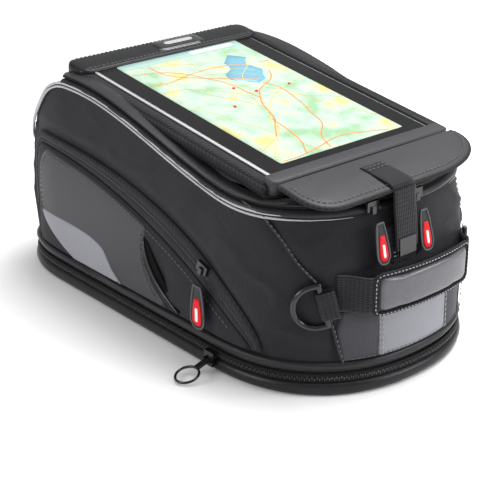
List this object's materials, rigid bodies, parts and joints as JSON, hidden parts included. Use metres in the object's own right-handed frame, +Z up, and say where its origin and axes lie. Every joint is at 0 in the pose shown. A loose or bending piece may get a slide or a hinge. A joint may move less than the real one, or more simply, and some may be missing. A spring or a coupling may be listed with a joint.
{
  "type": "tank bag",
  "caption": "Expandable motorcycle tank bag with padded body, zipped side pockets, tablet holder with flap and strap on the lid, carrying handle and tank ring base.",
  "frame": {"origin": "centre of the tank ring socket at the underside of the base, which is the middle of the base outline", "axes": "+Z up, +Y towards the front of the motorcycle, +X to the rider's right"},
  "size_m": [0.2782, 0.443, 0.2092],
  "materials": {
    "rim_rubber": "fine-grained soft PVC rim",
    "grip_rubber": "ribbed non-slip underside",
    "black_plastic": "moulded nylon, satin",
    "latch_red": "moulded nylon, red",
    "spring_steel": "bright wire",
    "board": "stiff polyethylene board",
    "zip_black": "woven zip tape with black coil",
    "zip_grey": "dark grey twill zip tape",
    "gusset_black": "thin coated polyester, folded",
    "body_fabric": "charcoal-black padded polyester",
    "roll_fabric": "coated fabric roll",
    "piping_silver": "reflective piping",
    "webbing": "black ribbed webbing",
    "metal_black": "black enamel",
    "moulded_grey": "mid-grey moulded synthetic leather",
    "reflective_grey": "light grey reflective synthetic leather",
    "patch_grey": "dark grey fabric",
    "gloss_black": "glossy black lip",
    "holder_grey": "dark grey synthetic leather",
    "hook_metal": "nickel-plated",
    "tablet_shell": "satin silver",
    "tablet_face": "black glass face with a lit map",
    "pull_black": "moulded pull"
  },
  "bodies": {
    "base": {"base_pan": "rim_rubber", "anti_slip_pad": "grip_rubber", "ring_socket": "black_plastic", "latch_spring": "spring_steel", "floor_board": "board", "expansion_zip_lower": "zip_black", "expansion_gusset": "gusset_black"},
    "latch": {"lock_latch": "latch_red"},
    "expansion_zip_slider": {"expansion_slider": "metal_black"},
    "ring": {"ring_pull": "metal_black"},
    "bag_body": {"expansion_zip_upper": "zip_black", "roll_band": "roll_fabric", "main_shell": "body_fabric", "piping_left": "piping_silver", "piping_right": "piping_silver", "main_zip_lower": "zip_black", "side_zip_left": "zip_grey", "side_zip_right": "zip_grey", "end_panel": "reflective_grey", "end_patches": "patch_grey", "strap_anchor": "webbing", "dring_loop_left": "webbing", "dring_loop_right": "webbing"},
    "left_dring": {"dring_left": "black_plastic"},
    "right_dring": {"dring_right": "black_plastic"},
    "handle": {"handle_webbing": "webbing", "handle_pad": "reflective_grey"},
    "left_pocket": {"pocket_left": "body_fabric", "moulded_panel_left": "moulded_grey", "reflective_patch_left": "reflective_grey", "slot_trim_left": "gloss_black"},
    "right_pocket": {"pocket_right": "body_fabric", "moulded_panel_right": "moulded_grey", "reflective_patch_right": "reflective_grey", "slot_trim_right": "gloss_black"},
    "left_pocket_slider": {"pocket_slider_left": "metal_black"},
    "right_pocket_slider": {"pocket_slider_right": "metal_black"},
    "left_pocket_pull": {"pocket_pull_left": "pull_black"},
    "right_pocket_pull": {"pocket_pull_right": "pull_black"},
    "lid": {"lid_panel": "body_fabric", "lid_rim": "roll_fabric", "main_zip_upper": "zip_black", "lid_hinge_tabs": "webbing"},
    "left_main_slider": {"main_slider_left": "metal_black"},
    "right_main_slider": {"main_slider_right": "metal_black"},
    "left_main_pull": {"main_pull_left": "pull_black"},
    "right_main_pull": {"main_pull_right": "pull_black"},
    "holder": {"holder_tray": "holder_grey", "holder_frame": "holder_grey", "holder_badge": "gloss_black", "tablet_case": "tablet_shell", "tablet_glass": "tablet_face"},
    "flap": {"holder_flap": "holder_grey", "strap_tab": "webbing"},
    "strap": {"closure_strap": "webbing", "strap_hook": "hook_metal"}
  },
  "joints": [
    {"name": "bag_expansion", "type": "slide", "parent": "base", "child": "bag_body", "axis": [0, 0, 1], "range_m": [0, 0.045], "deforming": ["expansion_gusset"]},
    {"name": "latch_retract", "type": "slide", "parent": "base", "child": "latch", "axis": [0, 1, 0], "range_m": [0, 0.006], "stiffness_N_per_m": 400, "springref_m": -0.003, "deforming": ["latch_spring"]},
    {"name": "expansion_zip_run", "type": "slide", "parent": "base", "child": "expansion_zip_slider", "axis": [0, 1, 0], "range_m": [0, 0.2]},
    {"name": "ring_swing", "type": "hinge", "parent": "expansion_zip_slider", "child": "ring", "pos_m": [-0.123, -0.1, 0.0106], "axis": [0, 1, 0], "range_deg": [0, 100]},
    {"name": "lid_hinge", "type": "hinge", "parent": "bag_body", "child": "lid", "pos_m": [0, 0.121, 0.195], "axis": [-1, 0, 0], "range_deg": [0, 80]},
    {"name": "holder_hinge", "type": "hinge", "parent": "lid", "child": "holder", "pos_m": [0, 0.121, 0.195], "axis": [-1, 0, 0], "range_deg": [0, 60]},
    {"name": "flap_hinge", "type": "hinge", "parent": "holder", "child": "flap", "pos_m": [0, -0.15416, 0.17114], "axis": [-1, 0, 0], "range_deg": [0, 120]},
    {"name": "strap_swing", "type": "hinge", "parent": "flap", "child": "strap", "pos_m": [-0.014, -0.2066, 0.1635], "axis": [-1, 0, 0], "range_deg": [0, 90]},
    {"name": "left_pocket_hinge", "type": "hinge", "parent": "bag_body", "child": "left_pocket", "pos_m": [-0.117, 0, 0.031], "axis": [0, -1, 0], "range_deg": [0, 6]},
    {"name": "right_pocket_hinge", "type": "hinge", "parent": "bag_body", "child": "right_pocket", "pos_m": [0.117, 0, 0.031], "axis": [0, 1, 0], "range_deg": [0, 6]},
    {"name": "left_pocket_zip_run", "type": "slide", "parent": "left_pocket", "child": "left_pocket_slider", "axis": [0, 0.939, 0.344], "range_m": [0, 0.065]},
    {"name": "right_pocket_zip_run", "type": "slide", "parent": "right_pocket", "child": "right_pocket_slider", "axis": [0, 0.939, 0.344], "range_m": [0, 0.065]},
    {"name": "left_pocket_pull_swing", "type": "hinge", "parent": "left_pocket_slider", "child": "left_pocket_pull", "pos_m": [-0.1224, -0.091, 0.08], "axis": [0, 1, 0], "range_deg": [0, 70]},
    {"name": "right_pocket_pull_swing", "type": "hinge", "parent": "right_pocket_slider", "child": "right_pocket_pull", "pos_m": [0.1224, -0.091, 0.08], "axis": [0, -1, 0], "range_deg": [0, 70]},
    {"name": "left_main_zip_run", "type": "slide", "parent": "bag_body", "child": "left_main_slider", "axis": [-1, 0, 0], "range_m": [0, 0.03]},
    {"name": "right_main_zip_run", "type": "slide", "parent": "bag_body", "child": "right_main_slider", "axis": [1, 0, 0], "range_m": [0, 0.03]},
    {"name": "left_main_pull_swing", "type": "hinge", "parent": "left_main_slider", "child": "left_main_pull", "pos_m": [-0.039, -0.2014, 0.146], "axis": [-1, 0, 0], "range_deg": [0, 60]},
    {"name": "right_main_pull_swing", "type": "hinge", "parent": "right_main_slider", "child": "right_main_pull", "pos_m": [0.0065, -0.2042, 0.146], "axis": [-1, 0, 0], "range_deg": [0, 60]},
    {"name": "left_dring_swing", "type": "hinge", "parent": "bag_body", "child": "left_dring", "pos_m": [-0.0804, -0.1895, 0.079], "axis": [-0.1885, 0.1516, 0.9703], "range_deg": [0, 110]},
    {"name": "right_dring_swing", "type": "hinge", "parent": "bag_body", "child": "right_dring", "pos_m": [0.0804, -0.1895, 0.079], "axis": [-0.1885, -0.1516, -0.9703], "range_deg": [0, 110]},
    {"name": "handle_rock", "type": "hinge", "parent": "bag_body", "child": "handle", "pos_m": [0, -0.199, 0.088], "axis": [1, 0, 0], "range_deg": [-6, 2]}
  ]
}
